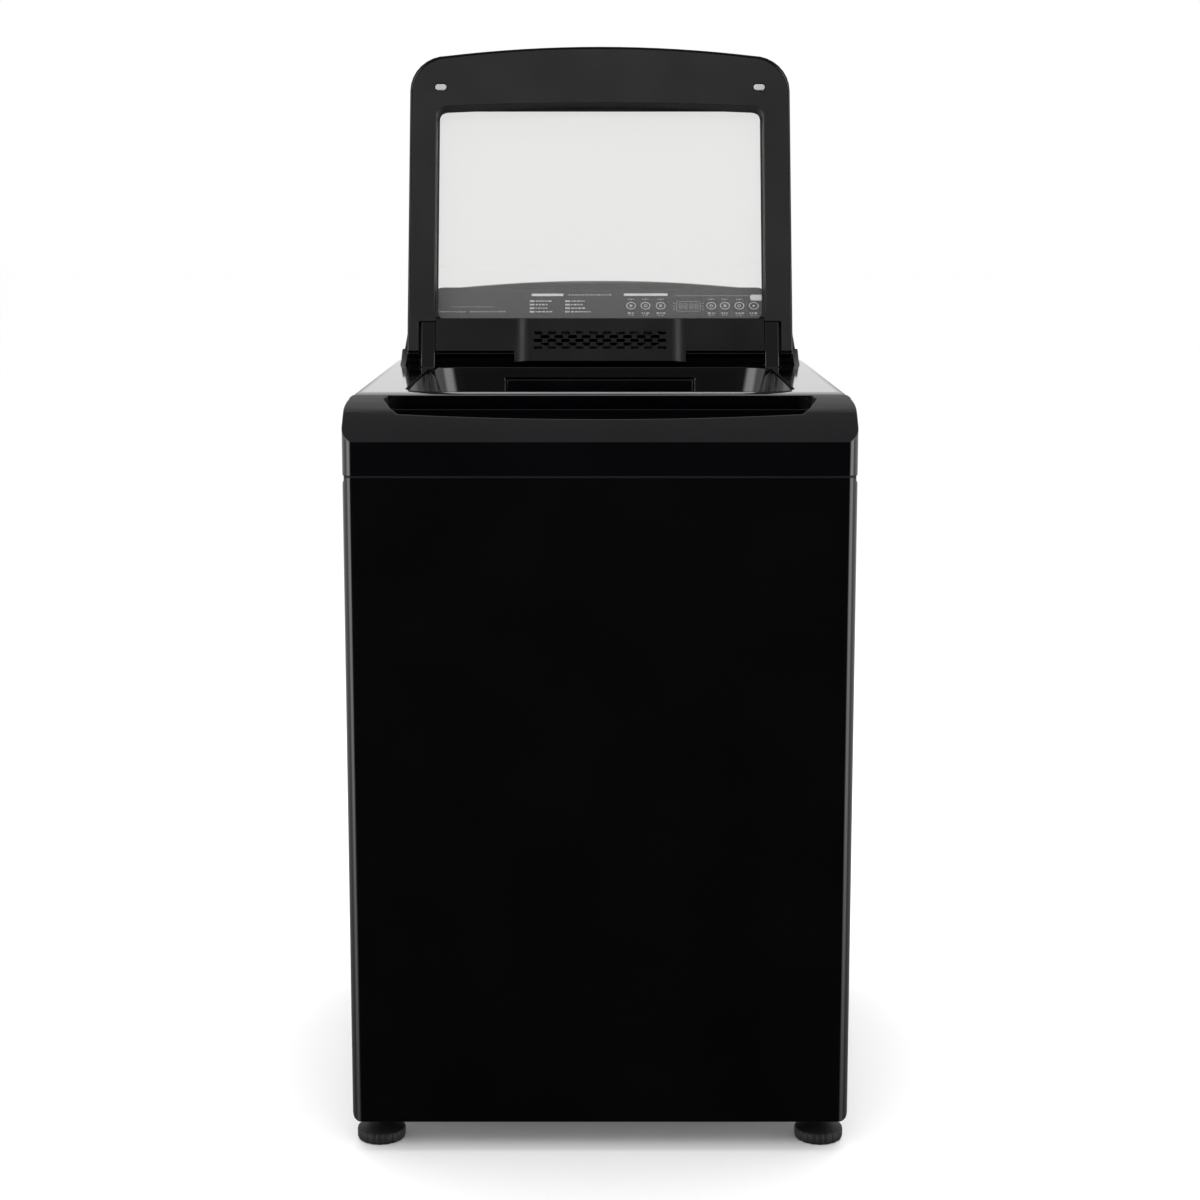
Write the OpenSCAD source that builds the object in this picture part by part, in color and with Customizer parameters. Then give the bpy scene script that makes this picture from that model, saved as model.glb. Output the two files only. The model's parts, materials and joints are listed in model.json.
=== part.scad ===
// Top load washing machine with its lid open.
// The machine stands on z = 0, faces -Y, and its origin is the centre of its footprint.
// Depths are given from the front face of the cabinet, so at() turns a depth into y.

/* [Body] */
// Width of the machine
body_w = 590; // [585:1:600]
// Depth of the machine from front face to back
body_d = 650; // [650:1:656]
// Height of the lower edge of the cabinet
base_z = 37; // [36:1:38]
// Top of the steel cabinet
cabinet_top = 808; // [806:1:808]
// Height of the flat deck around the opening
deck_z = 900; // [900:0.5:901]
// Radius of the upright corners
corner_r = 14; // [12:1:16]
// Wall thickness of the plastic mouldings
wall = 3; // [2.5:0.5:3]

/* [Top cover] */
// Height at which the front band meets the sloped front
band_top = 849; // [846:1:852]
// Depth at which the sloped front reaches the deck
slope_d = 75; // [72:1:76]
// How far the sloped front bulges out
slope_bulge = 4.5; // [3:0.5:6]
// Radius along the top side edges
edge_r = 19.5; // [15:0.5:20]
// Half width of the loading opening
open_half = 228; // [224:1:230]
// Depth of the rear edge of the loading opening
open_rear = 475; // [472:1:476]
// Radius of the corners of the loading opening
open_r = 45; // [42:1:46]
// Length of the wall around the opening
well_drop = 54; // [50:1:56]
// Draft of the wall around the opening, in degrees
well_draft = 10; // [6:1:11]

/* [Lid] */
// Angle between the closed and the open lid
lid_angle = 106; // [100:1:106]
// Width of the lid
lid_w = 522; // [518:1:522]
// Reach of the lid from its hinge to its front edge
lid_reach = 465; // [460:1:466]
// Radius of the front corners of the lid
lid_corner = 50; // [40:1:56]
// Thickness of the lid at its middle
lid_t = 36; // [34:1:36]
// Half width of the window
window_half = 225; // [218:1:226]
// Thickness of the glass
glass_t = 4; // [4:0.5:5]

/* [Console] */
// Depth of the console's front wall
console_front = 558; // [558:1:560]
// Overall height with the lid closed
console_top = 1010; // [1006:1:1012]
// Height at which the sloped panel starts
panel_z = 947; // [945:1:949]
// Slope of the control panel, in degrees
panel_tilt = 46; // [45:0.5:47]
// Diameter of a button
button_dia = 15; // [12:0.5:16]

/* [Tub and basket] */
// Depth of the axis that the basket spins about
tub_d = 305; // [304:1:306]
// Outer radius of the tub
tub_r = 268; // [264:1:268]
// Underside of the tub floor
tub_z = 215; // [215:0.5:216]
// Outer radius of the basket
basket_r = 248; // [244:1:248]
// Columns of holes in the basket wall
hole_columns = 20; // [12:1:24]
// Radius of the pulsator
pulsator_r = 180; // [170:1:190]
// Number of fins on the pulsator
fin_count = 6; // [4:1:8]

/* [Drive] */
// Radius of the wash shaft
wash_shaft_r = 6; // [6:0.5:6.5]
// Outer radius of the hollow spin shaft
spin_shaft_r = 12.5; // [12.5:0.5:13]
// Outer radius of the clutch pulley
clutch_pulley_r = 75; // [70:1:78]
// Outer radius of the motor pulley
motor_pulley_r = 30; // [28:1:32]
// Distance between the two pulleys
pulley_gap = 160; // [158:1:164]

/* [Feet] */
// Radius of a foot
foot_r = 29; // [26:0.5:29]
// Distance of a foot from the middle plane
foot_x = 264; // [258:1:264]
// Distance of a foot from the front and back faces
foot_inset = 45; // [40:1:50]
// Radius of a foot's threaded stud
stud_r = 5; // [4:0.5:6]

/* [Hidden] */

$fn = 96;
eps = 0.01;
big = 900;
gap = 0.4;              // clearance between pieces that move past each other
fit = 0.05;             // radial clearance of a shaft in its bore
sheet = 1.2;            // thickness of the steel sheet
seam = 1.5;             // gap between the cabinet and the top cover
cover_bottom = cabinet_top + seam;
back_y = body_d / 2;
under_deck = deck_z - wall * 1.1 - 0.05;  // just below the deck plate
front_y = -body_d / 2;
tub_y = tub_d - body_d / 2;

// Hinge of the lid, and the lid's layers measured up from the hinge when closed
hinge_d = 485;
hinge_z = deck_z - 12;
hinge_x = 233;
hinge_pin_r = 4;
arm_w = 18.6;
lid_face = 13;          // inner face of the closed lid above the hinge
lid_back = 33;          // rear edge of the lid in front of the hinge
window_rear = 82;
window_front = 385;
glass_under = 43;       // underside of the glass above the hinge

// Rounded foot of the slope and the finger recess in it
slope_tilt = atan2(deck_z - band_top, slope_d);
recess_half = 246;
recess_depth = 17;

// Vent slots in the bump below the window
grille_rows = 5;
grille_pitch = 18.6;
// Drawer in the rear wall of the opening
drawer_half = 124;
drawer_low = 838;
drawer_high = 884;
drawer_face_d = 467;
drawer_back_d = 596;

// Buttons and lights on the control panel, measured along its width and up its slope
button_x = [43, 63, 84, 154, 173, 193, 213];
button_v = 41;
light_columns = [-94, -45];
light_rows = [31, 37.5, 44, 50.5];
light_r = 1.6;
panel_t = 1.6;
display_x = 122.5;
display_w = 29;
display_h = 14;

// Suspension: the rods hang from the corners of the cabinet beside the tub
rod_x = 250;
rod_dy = 255;
rod_r = 4;
rod_low = 200;
rod_high = 790;
spring_low = rod_low + 5;
spring_high = 265;
spring_turns = 6;
lug_z = 280;

// Drive train below the tub, from the pulleys up
pulley_low = 76;
pulley_high = 96;
belt_h = 9;
motor_x = pulley_gap;
bore_r = 20;

// Foot positions: front, rear
foot_depths = [foot_inset, body_d - foot_inset];

// Water level sensor above the nipple on the tub
sensor_x = 143.5;
sensor_y = tub_y + 248.5;
sensor_low = 838;
nipple_top = 262;
// Water connections
inlet_xs = [160, 200];
inlet_z = 862;
spout_r = 13.2;
drain_x = -165;
drain_z = 858;
drain_r = 15;
hose_r = 13;
pocket_d = 22;

function at(d) = d - body_d / 2;

// Points on the arc from a to b that bulges by h to the left of the way from a to b
function arc(a, b, h, n = 12) =
    let (c = norm(b - a), r = c * c / (8 * h) + h / 2, m = (a + b) / 2, u = (b - a) / c,
        side = [-u[1], u[0]], o = m + side * (h - r), half = asin(c / 2 / r))
    [for (i = [0 : n]) let (t = -half + 2 * half * i / n) o + r * (side * cos(t) + u * sin(t))];

// Points on a quarter ellipse from a to b whose tangents meet at the corner c
function quarter(a, c, b, n = 8) =
    [for (i = [0 : n]) let (t = 90 * i / n) c + (a - c) * (1 - sin(t)) + (b - c) * (1 - cos(t))];

function mirrored(points) = [for (i = [len(points) - 1 : -1 : 0]) [-points[i][0], points[i][1]]];

// A flat shape drawn in y and z, drawn out along x
module along_x(length) {
    rotate([90, 0, 90]) translate([0, 0, -length / 2]) linear_extrude(length) children();
}

// A flat shape drawn in x and z, drawn out along y
module along_y(from, to) {
    translate([0, to, 0]) rotate([90, 0, 0]) linear_extrude(to - from) children();
}

module box(low, high) {
    translate(low) cube(high - low);
}

module rounded(w, l, r) {
    square([w - 2 * r, l], center = true);
    square([w, l - 2 * r], center = true);
    for (x = [-1, 1], y = [-1, 1]) translate([x * (w / 2 - r), y * (l / 2 - r)]) circle(r);
}

module ring(r_out, r_in, low, high) {
    translate([0, 0, low]) difference() {
        cylinder(r = r_out, h = high - low);
        translate([0, 0, -1]) cylinder(r = r_in, h = high - low + 2);
    }
}

module both_sides() {
    children();
    mirror([1, 0, 0]) children();
}

module on_tub_axis() {
    translate([0, tub_y, 0]) children();
}

module at_rods() {
    for (x = [-1, 1], y = [-1, 1]) translate([x * rod_x, tub_y + y * rod_dy, 0]) children();
}

// ---------------------------------------------------------------- cabinet

module cabinet() {
    color([0.02, 0.02, 0.022]) difference() {
        intersection() {
            translate([0, 0, base_z]) linear_extrude(cabinet_top - base_z)
                rounded(body_w, body_d, corner_r);
            along_y(front_y, back_y) translate([0, (base_z + cabinet_top) / 2])
                rounded(body_w, cabinet_top - base_z, 10);
            box([-big, front_y, 0], [big, back_y - corner_r, big]);
        }
        translate([0, 0, base_z + sheet]) linear_extrude(big)
            rounded(body_w - 2 * sheet, body_d - 2 * sheet, corner_r - sheet);
        linear_extrude(big) rounded(body_w - 50, body_d - 50, corner_r);
        box([25 - body_w / 2, 0, 0], [body_w / 2 - 25, back_y, big]);
    }
    color([0.02, 0.02, 0.022]) both_sides() difference() {
        box([body_w / 2 - sheet, back_y - corner_r, base_z + 10],
            [body_w / 2, back_y - 1, cabinet_top - 10]);
        box([0, back_y - corner_r, 0], [body_w / 2 - sheet - eps, back_y, big]);
    }
}

// Steel back with pressed ribs, a service cover and louvres, hung between the cabinet's sides
module back_panel() {
    panel_y = back_y - 6;
    half = body_w / 2 - sheet;
    color([0.62, 0.63, 0.64]) difference() {
        union() {
            box([-half, panel_y, base_z + 8], [half, panel_y + sheet, cabinet_top - 2]);
            both_sides() box([half - sheet, panel_y - 12, base_z + 26],
                [half, panel_y, cabinet_top - 14]);
            for (z = [300 : 80 : 700])
                box([-230, panel_y + sheet, z], [230, panel_y + 4, z + 14]);
            box([-170, panel_y + sheet, 90], [170, panel_y + 3, 260]);
        }
        for (x = [-120 : 20 : 120], z = [120, 190])
            box([x - 4, panel_y - 1, z], [x + 4, back_y, z + 40]);
        translate([225, panel_y - 1, 140]) rotate([-90, 0, 0]) cylinder(r = 9, h = 10);
    }
}

// Moulded base ring with a threaded boss over each foot
module base_frame() {
    low = base_z + sheet;
    w = body_w - 2 * sheet;
    d = body_d - 2 * sheet - 12;
    color([0.12, 0.12, 0.13]) difference() {
        union() {
            translate([0, -6, low]) linear_extrude(22) difference() {
                rounded(w, d, corner_r - sheet);
                rounded(w - 8, d - 8, corner_r - sheet - 3);
            }
            translate([0, -6, low]) linear_extrude(4) difference() {
                rounded(w, d, corner_r - sheet);
                rounded(w - 120, d - 120, 40);
            }
            for (x = [-1, 1], d = foot_depths) translate([x * foot_x, at(d), low])
                cylinder(r = 17, h = 32);
        }
        for (x = [-1, 1], d = foot_depths) translate([x * foot_x, at(d), 0])
            cylinder(r = stud_r + fit, h = 100);
    }
}

module foot(x, d) {
    color([0.05, 0.05, 0.05]) translate([x, at(d), 0]) {
        rotate_extrude() polygon([[0, 0], [foot_r - 3, 0], [foot_r, 3], [foot_r, 11],
            [foot_r - 3, 14], [20, 17], [18, 27], [0, 27]]);
        translate([0, 0, 27]) cylinder(r = 9.5, h = 7, $fn = 6);
        translate([0, 0, 34]) cylinder(r = stud_r, h = 32);
    }
}

// ---------------------------------------------------------------- top cover

// Outer form of the top cover, drawn in by t on every wall
module cover_form(t) {
    top = deck_z - t * 1.1;
    slope_foot = [at(0) + t, band_top - t / 4];
    knee = [at(slope_d - 17), top - 3.2];
    intersection() {
        along_x(body_w - 2 * t) polygon(concat([[at(0) + t, cover_bottom]],
            arc(slope_foot, knee, slope_bulge),
            quarter(knee, knee + [6.6, 3.2], [at(slope_d), top], 6),
            [[back_y - 6 - t, top], [back_y - t, deck_z - 6 - t],
            [back_y - t, cover_bottom]]));
        along_y(front_y, back_y) {
            translate([0, top - 100]) rounded(body_w - 2 * t, 200, edge_r);
            translate([0, cover_bottom + 25]) square([body_w - 2 * t, 50], center = true);
        }
        translate([0, 0, cover_bottom]) linear_extrude(200)
            rounded(body_w - 2 * t, body_d - 2 * t, corner_r);
    }
}

// Drafted hole through the deck, larger by t on every side, down to z = low
module well(t, low) {
    open_d = open_rear - slope_d;
    taper = 2 * (deck_z - low) * tan(well_draft);
    translate([0, at(slope_d + open_d / 2), 0]) hull() {
        translate([0, 0, deck_z + 1]) linear_extrude(eps)
            rounded(2 * open_half + 2 * t, open_d + 2 * t, open_r + t, $fn = 32);
        translate([0, 0, low]) linear_extrude(eps)
            rounded(2 * open_half + 2 * t - taper, open_d + 2 * t - taper, open_r + t, $fn = 32);
    }
}

// Finger recess across the front slope, under the front edge of the closed lid
module recess(t) {
    tip = [recess_half + 4, 15];
    low = [recess_half - 14, -13];
    translate([0, at(42), deck_z - 18]) rotate([slope_tilt, 0, 0])
        translate([0, 0, -recess_depth - t]) linear_extrude(60 + t) offset(delta = t)
        polygon(concat([[-recess_half, 21], [recess_half, 21], tip], [[low[0] + 9, -3]],
            arc(low, [-low[0], low[1]], 8),
            [[-low[0] - 9, -3], [-tip[0], tip[1]]]));
}

module hinge_block() {
    box([open_half - 8, at(457), hinge_z - 26], [252, at(540), deck_z - 1]);
}

module top_cover() {
    color([0.02, 0.02, 0.022]) difference() {
        union() {
            difference() {
                cover_form(0);
                translate([0, 0, -eps]) cover_form(wall);
            }
            intersection() {
                cover_form(0);
                union() {
                    well(wall, deck_z - well_drop);
                    recess(wall);
                    both_sides() hinge_block();
                    box([120, back_y - pocket_d - wall, 835], [240, back_y, 889]);
                    box([-205, back_y - pocket_d - wall, 828], [-125, back_y, 889]);
                }
            }
        }
        well(0, deck_z - well_drop - 10);
        recess(0);
        both_sides() {
            box([hinge_x - arm_w / 2 - gap, at(462), hinge_z - 22],
                [hinge_x + arm_w / 2 + gap, at(536), big]);
            translate([open_half - 14, at(hinge_d), hinge_z]) rotate([0, 90, 0])
                cylinder(r = hinge_pin_r, h = 36);
        }
        box([-drawer_half - wall, at(400), drawer_low - wall],
            [drawer_half + wall, at(open_rear) + wall + 1, drawer_high + 2]);
        box([123, back_y - pocket_d, 838], [237, big, 886]);
        box([-202, back_y - pocket_d, 831], [-128, big, 886]);
        for (x = inlet_xs) translate([x, back_y - 60, inlet_z]) rotate([-90, 0, 0])
            cylinder(r = 15, h = 60);
        translate([drain_x, back_y - 60, drain_z]) rotate([-90, 0, 0])
            cylinder(r = drain_r + 1, h = 60);
        box([-200, at(560), deck_z - 10], [200, at(630), deck_z + 10]);
    }
}

// ---------------------------------------------------------------- console

// Outer form of the console, drawn in by t
module console_form(t) {
    slope_l = (console_top - 4 - panel_z) / tan(panel_tilt);
    head = [at(console_front) + slope_l, console_top - 4];
    intersection() {
        along_x(body_w) offset(delta = -t) polygon(concat(
            [[at(console_front), deck_z - 2 * t], [at(console_front), panel_z]],
            quarter(head, head + [3, 4], [head[0] + 9, console_top]),
            quarter([back_y - 13, console_top], [back_y - 1, console_top],
                [back_y - 1, console_top - 12]),
            [[back_y - 1, deck_z - 2 * t]]));
        along_y(front_y, back_y + t) offset(delta = -t) polygon(concat(
            [[272, deck_z - 2 * t], [262, 955]],
            quarter([262, 955], [256, 993], [228, console_top - 13]),
            arc([228, console_top - 13], [-228, console_top - 13], -13, 24),
            mirrored(quarter([262, 955], [256, 993], [228, console_top - 13])),
            [[-262, 955], [-272, deck_z - 2 * t]]));
    }
}

// Moves children onto the control panel: x across, y up the slope, z out of the face
module on_panel() {
    translate([0, at(console_front), panel_z]) rotate([panel_tilt, 0, 0]) children();
}

module panel_outline() {
    translate([0, 43]) rounded(2 * 230, 66, 12);
}

module console_housing() {
    color([0.05, 0.05, 0.055]) difference() {
        union() {
            difference() {
                console_form(0);
                console_form(wall);
            }
            both_sides() along_horn();
        }
        on_panel() translate([0, 0, -panel_t]) linear_extrude(40) panel_outline();
        on_panel() translate([0, 43, -20]) linear_extrude(40) rounded(450, 46, 6);
    }
}

// Low fairing that carries the console's foot forward along the lid's side
module along_horn() {
    translate([263.5, 0, 0]) rotate([90, 0, 90]) linear_extrude(8.5)
        polygon([[at(517), deck_z], [at(540), deck_z + 7], [at(console_front), deck_z + 20],
            [at(console_front), deck_z]]);
}

module control_panel() {
    color([0.03, 0.03, 0.034]) on_panel() difference() {
        translate([0, 0, -panel_t]) linear_extrude(panel_t) panel_outline();
        for (x = button_x) translate([x, button_v, -10])
            cylinder(r = button_dia / 2 + gap, h = 20);
        translate([display_x, button_v, -10]) linear_extrude(20)
            rounded(display_w, display_h, 3);
        for (x = light_columns, v = light_rows) translate([x, v, -10])
            cylinder(r = light_r, h = 20);
        for (x = button_x) translate([x, button_v + 13, -10]) cylinder(r = 1.1, h = 20);
    }
}

module display_window() {
    color([0.12, 0.13, 0.14]) on_panel() translate([display_x, button_v, -2.5])
        linear_extrude(2.7) rounded(display_w, display_h, 3);
}

module indicator_lights() {
    color([0.85, 0.87, 0.88]) on_panel() {
        for (x = light_columns, v = light_rows) translate([x, v, -5])
            cylinder(r = light_r, h = 5.2);
        for (x = button_x) translate([x, button_v + 13, -5]) cylinder(r = 1.1, h = 5.2);
    }
}

// Control board on stand-offs behind the panel, with its transformer and relays
module control_board() {
    board_z = -22;
    color([0.1, 0.35, 0.16]) on_panel() {
        translate([60, 36, board_z]) linear_extrude(1.6) square([330, 40], center = true);
        for (x = [-90, 210], v = [20, 52]) translate([x, v, board_z + 1.6])
            cylinder(r = 3, h = -board_z - 1.6 - 2.5 - 6);
        translate([-60, 36, board_z - 14]) linear_extrude(14) square([34, 28], center = true);
        for (x = [0, 30, 60]) translate([x, 36, board_z - 10]) linear_extrude(10)
            square([16, 20], center = true);
    }
}

module button(x) {
    color([0.06, 0.06, 0.065]) on_panel() translate([x, button_v, 0]) rotate_extrude()
        polygon([[0, -12], [3, -12], [3, -4], [button_dia / 2, -4], [button_dia / 2, 0.5],
            [button_dia / 2 - 0.7, 1.2], [5, 1.2], [0, 0.9]]);
}

// ---------------------------------------------------------------- water, drawer, small parts

// Open-fronted case behind the rear wall of the opening, with wash-down holes in its floor
module dispenser_housing() {
    out = drawer_half + wall + 2.4;
    color([0.8, 0.81, 0.82]) difference() {
        box([-out, at(open_rear) + wall + 0.6, drawer_low - wall - 2.4],
            [out, at(drawer_back_d) + 26, under_deck]);
        box([-drawer_half - wall, at(400), drawer_low - wall],
            [drawer_half + wall, at(drawer_back_d) + 23, drawer_high + 2]);
        for (x = [-90 : 30 : 90]) translate([x, at(500), drawer_low - 20])
            cylinder(r = 5, h = 30);
    }
}

// Wide shallow drawer with three compartments and a finger lip on its front
module detergent_drawer() {
    color([0.04, 0.04, 0.045]) {
        difference() {
            box([-drawer_half, at(drawer_face_d), drawer_low],
                [drawer_half, at(drawer_back_d), drawer_high - 6]);
            for (x = [-80, 0, 80])
                box([x - 37, at(drawer_face_d) + 5, drawer_low + 2],
                    [x + 37, at(drawer_back_d) - 2.5, big]);
        }
        box([-drawer_half, at(drawer_face_d), drawer_high - 6],
            [drawer_half, at(drawer_face_d) + 5, drawer_high]);
    }
}

// Twin solenoid valve: hot and cold spouts to the back, one outlet to the dispenser
module inlet_valve() {
    face_y = back_y - pocket_d - wall;
    color([0.85, 0.85, 0.82]) {
        difference() {
            box([142, face_y - 26, 846], [218, face_y, 878]);
            for (x = inlet_xs) translate([x, face_y - 20, inlet_z]) rotate([-90, 0, 0])
                cylinder(r = 9, h = 60);
        }
        for (x = inlet_xs) translate([x, face_y, inlet_z]) rotate([-90, 0, 0]) difference() {
            cylinder(r = spout_r, h = 24);
            translate([0, 0, -1]) cylinder(r = 9, h = 30);
        }
        for (x = inlet_xs) translate([x, face_y - 13, 832]) cylinder(r = 11, h = 14);
        translate([drawer_half + wall + 2.4, face_y - 16, inlet_z]) rotate([0, 90, 0])
            cylinder(r = 7, h = 142 - drawer_half - wall - 2.4);
    }
}

module drain_outlet() {
    face_y = back_y - pocket_d - wall;
    color([0.25, 0.25, 0.26]) translate([drain_x, 0, drain_z]) {
        translate([0, face_y - 6, 0]) rotate([-90, 0, 0]) difference() {
            union() {
                cylinder(r = 20, h = 6);
                cylinder(r = drain_r, h = 30);
            }
            translate([0, 0, -1]) cylinder(r = 11, h = 60);
        }
    }
}

// Corrugated hose from the drain pump back and up to the outlet
module drain_hose() {
    run_y = back_y - 44.6;
    pump_y = tub_y + 60 + 62 + gap;
    bend = 26;
    end_y = back_y - pocket_d - wall - 6;
    color([0.55, 0.56, 0.58]) translate([drain_x, 0, 0]) {
        translate([0, pump_y, 140]) rotate([-90, 0, 0])
            cylinder(r = hose_r, h = run_y - bend - pump_y);
        translate([0, run_y - bend, 140 + bend]) rotate([0, 90, 0])
            rotate_extrude(angle = 90) translate([bend, 0]) circle(hose_r);
        translate([0, run_y, 140 + bend]) cylinder(r = hose_r, h = drain_z - 140 - bend);
        translate([0, run_y, drain_z]) sphere(hose_r);
        translate([0, run_y, drain_z]) rotate([-90, 0, 0])
            cylinder(r = hose_r, h = end_y - run_y);
    }
}

module lid_switch() {
    color([0.9, 0.9, 0.88])
        box([240, at(300), deck_z - 20], [262, at(340), under_deck]);
}

module hinge_pins() {
    color([0.7, 0.71, 0.72]) both_sides() translate([open_half - 11, at(hinge_d), hinge_z])
        rotate([0, 90, 0]) cylinder(r = hinge_pin_r, h = 33);
}

module level_sensor() {
    color([0.15, 0.15, 0.16]) translate([sensor_x, sensor_y, 0]) {
        translate([0, 0, sensor_low]) cylinder(r = 4, h = 6);
        translate([0, 0, sensor_low + 6]) cylinder(r = 10, h = 24);
        translate([0, 0, sensor_low + 30]) cylinder(r = 5, h = under_deck - sensor_low - 30);
    }
}

module pressure_tube() {
    low = nipple_top + gap;
    color([0.75, 0.76, 0.78]) translate([sensor_x, sensor_y, low])
        cylinder(r = 3.5, h = sensor_low - low);
}

module cable_gland() {
    color([0.08, 0.08, 0.08]) translate([225, back_y - 12, 140]) rotate([-90, 0, 0])
        difference() {
            union() {
                cylinder(r = 9, h = 12);
                translate([0, 0, 12 - 6 + sheet]) cylinder(r = 12, h = 4.5);
                cylinder(r = 12, h = 6);
            }
            translate([0, 0, -1]) cylinder(r = 4.2, h = 20);
        }
}

// Screws that hold the back panel and the rear of the top cover
module case_screws() {
    color([0.75, 0.76, 0.77]) for (x = [-1, 1], z = [80, 330, 560, 780])
        translate([x * 270, back_y - 6 + sheet, z]) rotate([-90, 0, 0]) {
            cylinder(r = 4.5, h = 2.6);
        }
}

// ---------------------------------------------------------------- suspension

// Plates from the cabinet's side walls that the rods hang from
module rod_seats() {
    color([0.72, 0.73, 0.74]) both_sides() for (y = [-1, 1]) difference() {
        translate([0, tub_y + y * rod_dy, 0])
            box([rod_x - 20, -22, rod_high - 4], [body_w / 2 - sheet, 22, rod_high]);
        translate([rod_x, tub_y + y * rod_dy, rod_high - 10]) cylinder(r = rod_r, h = 30);
    }
}

module suspension_rods() {
    color([0.66, 0.67, 0.69]) at_rods() {
        translate([0, 0, rod_low]) cylinder(r = 17, h = 5);
        translate([0, 0, rod_low + 5]) cylinder(r = rod_r, h = rod_high - rod_low - 5);
        translate([0, 0, rod_high]) cylinder(r = 8, h = 5);
    }
}

// One coil spring as a round wire swept along a helix
module coil(low, high, r, wire, turns) {
    steps = 14 * turns;
    sides = 5;
    ring_points = [for (k = [0 : steps]) let (a = 360 * turns * k / steps,
            z = low + wire + (high - low - 2 * wire) * k / steps)
        for (j = [0 : sides - 1]) let (b = 360 * j / sides, q = r + wire * cos(b))
        [q * cos(a), q * sin(a), z + wire * sin(b)]];
    walls = [for (k = [0 : steps - 1], j = [0 : sides - 1]) let (n = (j + 1) % sides)
        [k * sides + j, (k + 1) * sides + j, (k + 1) * sides + n, k * sides + n]];
    polyhedron(ring_points, concat([[for (j = [0 : sides - 1]) j]], walls,
        [[for (j = [sides - 1 : -1 : 0]) steps * sides + j]]));
}

module suspension_springs() {
    color([0.5, 0.51, 0.53]) at_rods() coil(spring_low, spring_high - gap, 12, 1.6, spring_turns);
}

module suspension_cups() {
    color([0.9, 0.9, 0.86]) at_rods() difference() {
        translate([0, 0, spring_high]) cylinder(r = 18, h = lug_z - spring_high);
        translate([0, 0, spring_high - 1]) cylinder(r = rod_r + gap, h = 40);
    }
}

// ---------------------------------------------------------------- tub

module tub() {
    lug_l = norm([rod_x, rod_dy]);
    lug_a = atan2(rod_dy, rod_x);
    color([0.82, 0.83, 0.84]) on_tub_axis() difference() {
        union() {
            ring(tub_r, tub_r - wall, tub_z, 796);
            translate([0, 0, tub_z]) cylinder(r = tub_r, h = 4);
            for (z = [400, 560, 720]) ring(tub_r + 4, tub_r - 1, z, z + 6);
            for (a = [lug_a, 180 - lug_a, 180 + lug_a, -lug_a]) rotate(a) {
                translate([tub_r - 2, -17, lug_z]) cube([lug_l - tub_r + 2, 34, 12]);
                translate([lug_l, 0, lug_z]) cylinder(r = 17, h = 12);
                translate([tub_r - 2, -3, lug_z - 50]) cube([50, 6, 50]);
            }
            rotate(60) translate([tub_r - 2, -10, 230]) cube([32, 20, 32]);
        }
        for (a = [lug_a, 180 - lug_a, 180 + lug_a, -lug_a]) rotate(a)
            translate([lug_l, 0, lug_z - 1]) cylinder(r = rod_r + 2, h = 20);
        translate([0, 0, tub_z - 1]) cylinder(r = 38, h = 10);
        translate([drain_x, 60, tub_z - 1]) cylinder(r = 14, h = 10);
    }
}

module tub_cover() {
    color([0.86, 0.87, 0.88]) on_tub_axis() rotate_extrude() polygon([[230, 800],
        [233, 796], [tub_r + 3, 796], [tub_r + 3, 788], [tub_r + 5, 788], [tub_r + 5, 799],
        [tub_r - 20, 806], [236, 808], [230, 806]]);
}

// Steel plate under the tub that carries the clutch, the motor and the pump
module support_bracket() {
    color([0.6, 0.61, 0.63]) on_tub_axis() difference() {
        translate([0, 0, 210]) linear_extrude(tub_z - 210) {
            circle(100);
            square([430, 70], center = true);
            square([70, 430], center = true);
            translate([motor_x, 0]) circle(68);
        }
        translate([0, 0, 200]) cylinder(r = 38, h = 30);
    }
}

module clutch_housing() {
    color([0.55, 0.56, 0.58]) on_tub_axis() difference() {
        union() {
            translate([0, 0, 110]) cylinder(r = 52, h = 92);
            translate([0, 0, 202]) cylinder(r = 72, h = 8);
            translate([0, 0, 210]) cylinder(r = 38, h = 18);
        }
        translate([0, 0, 100]) cylinder(r = bore_r, h = 140);
    }
}

module shaft_bearings() {
    color([0.75, 0.76, 0.78]) on_tub_axis() {
        ring(bore_r, spin_shaft_r + fit, 115, 128);
        ring(bore_r, spin_shaft_r + fit, 203, 216);
    }
}

module shaft_seal() {
    color([0.05, 0.05, 0.05]) on_tub_axis() ring(bore_r, spin_shaft_r + gap, 218, 227);
}

module motor() {
    color([0.5, 0.51, 0.53]) translate([motor_x, tub_y, 0]) difference() {
        union() {
            translate([0, 0, 112]) cylinder(r = 60, h = 84);
            translate([0, 0, 104]) cylinder(r = 30, h = 100);
            for (a = [45 : 90 : 315]) rotate(a) translate([50, 0, 190]) cylinder(r = 7, h = 20);
        }
        translate([0, 0, 100]) cylinder(r = wash_shaft_r + fit, h = 60);
    }
}

// V-belt around the two pulleys, clear of their grooves
module drive_belt() {
    low = (pulley_low + pulley_high) / 2 - belt_h / 2 + gap;
    color([0.06, 0.06, 0.06]) on_tub_axis() translate([0, 0, low])
        linear_extrude(belt_h - 2 * gap) difference() {
            hull() {
                circle(clutch_pulley_r - 1);
                translate([motor_x, 0]) circle(motor_pulley_r - 1);
            }
            hull() {
                circle(clutch_pulley_r - 6);
                translate([motor_x, 0]) circle(motor_pulley_r - 6);
            }
        }
}

// Pump below the tub floor, its sump hose above and its outlet to the back
module drain_pump() {
    color([0.2, 0.2, 0.21]) translate([drain_x, tub_y + 60, 0]) {
        translate([0, 0, 118]) cylinder(r = 36, h = 52);
        translate([0, 0, 90]) cylinder(r = 22, h = 28);
        ring(16, 13, 170, tub_z);
        translate([0, 34, 140]) rotate([-90, 0, 0]) cylinder(r = 11, h = 28);
    }
}

// ---------------------------------------------------------------- basket and pulsator

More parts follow.
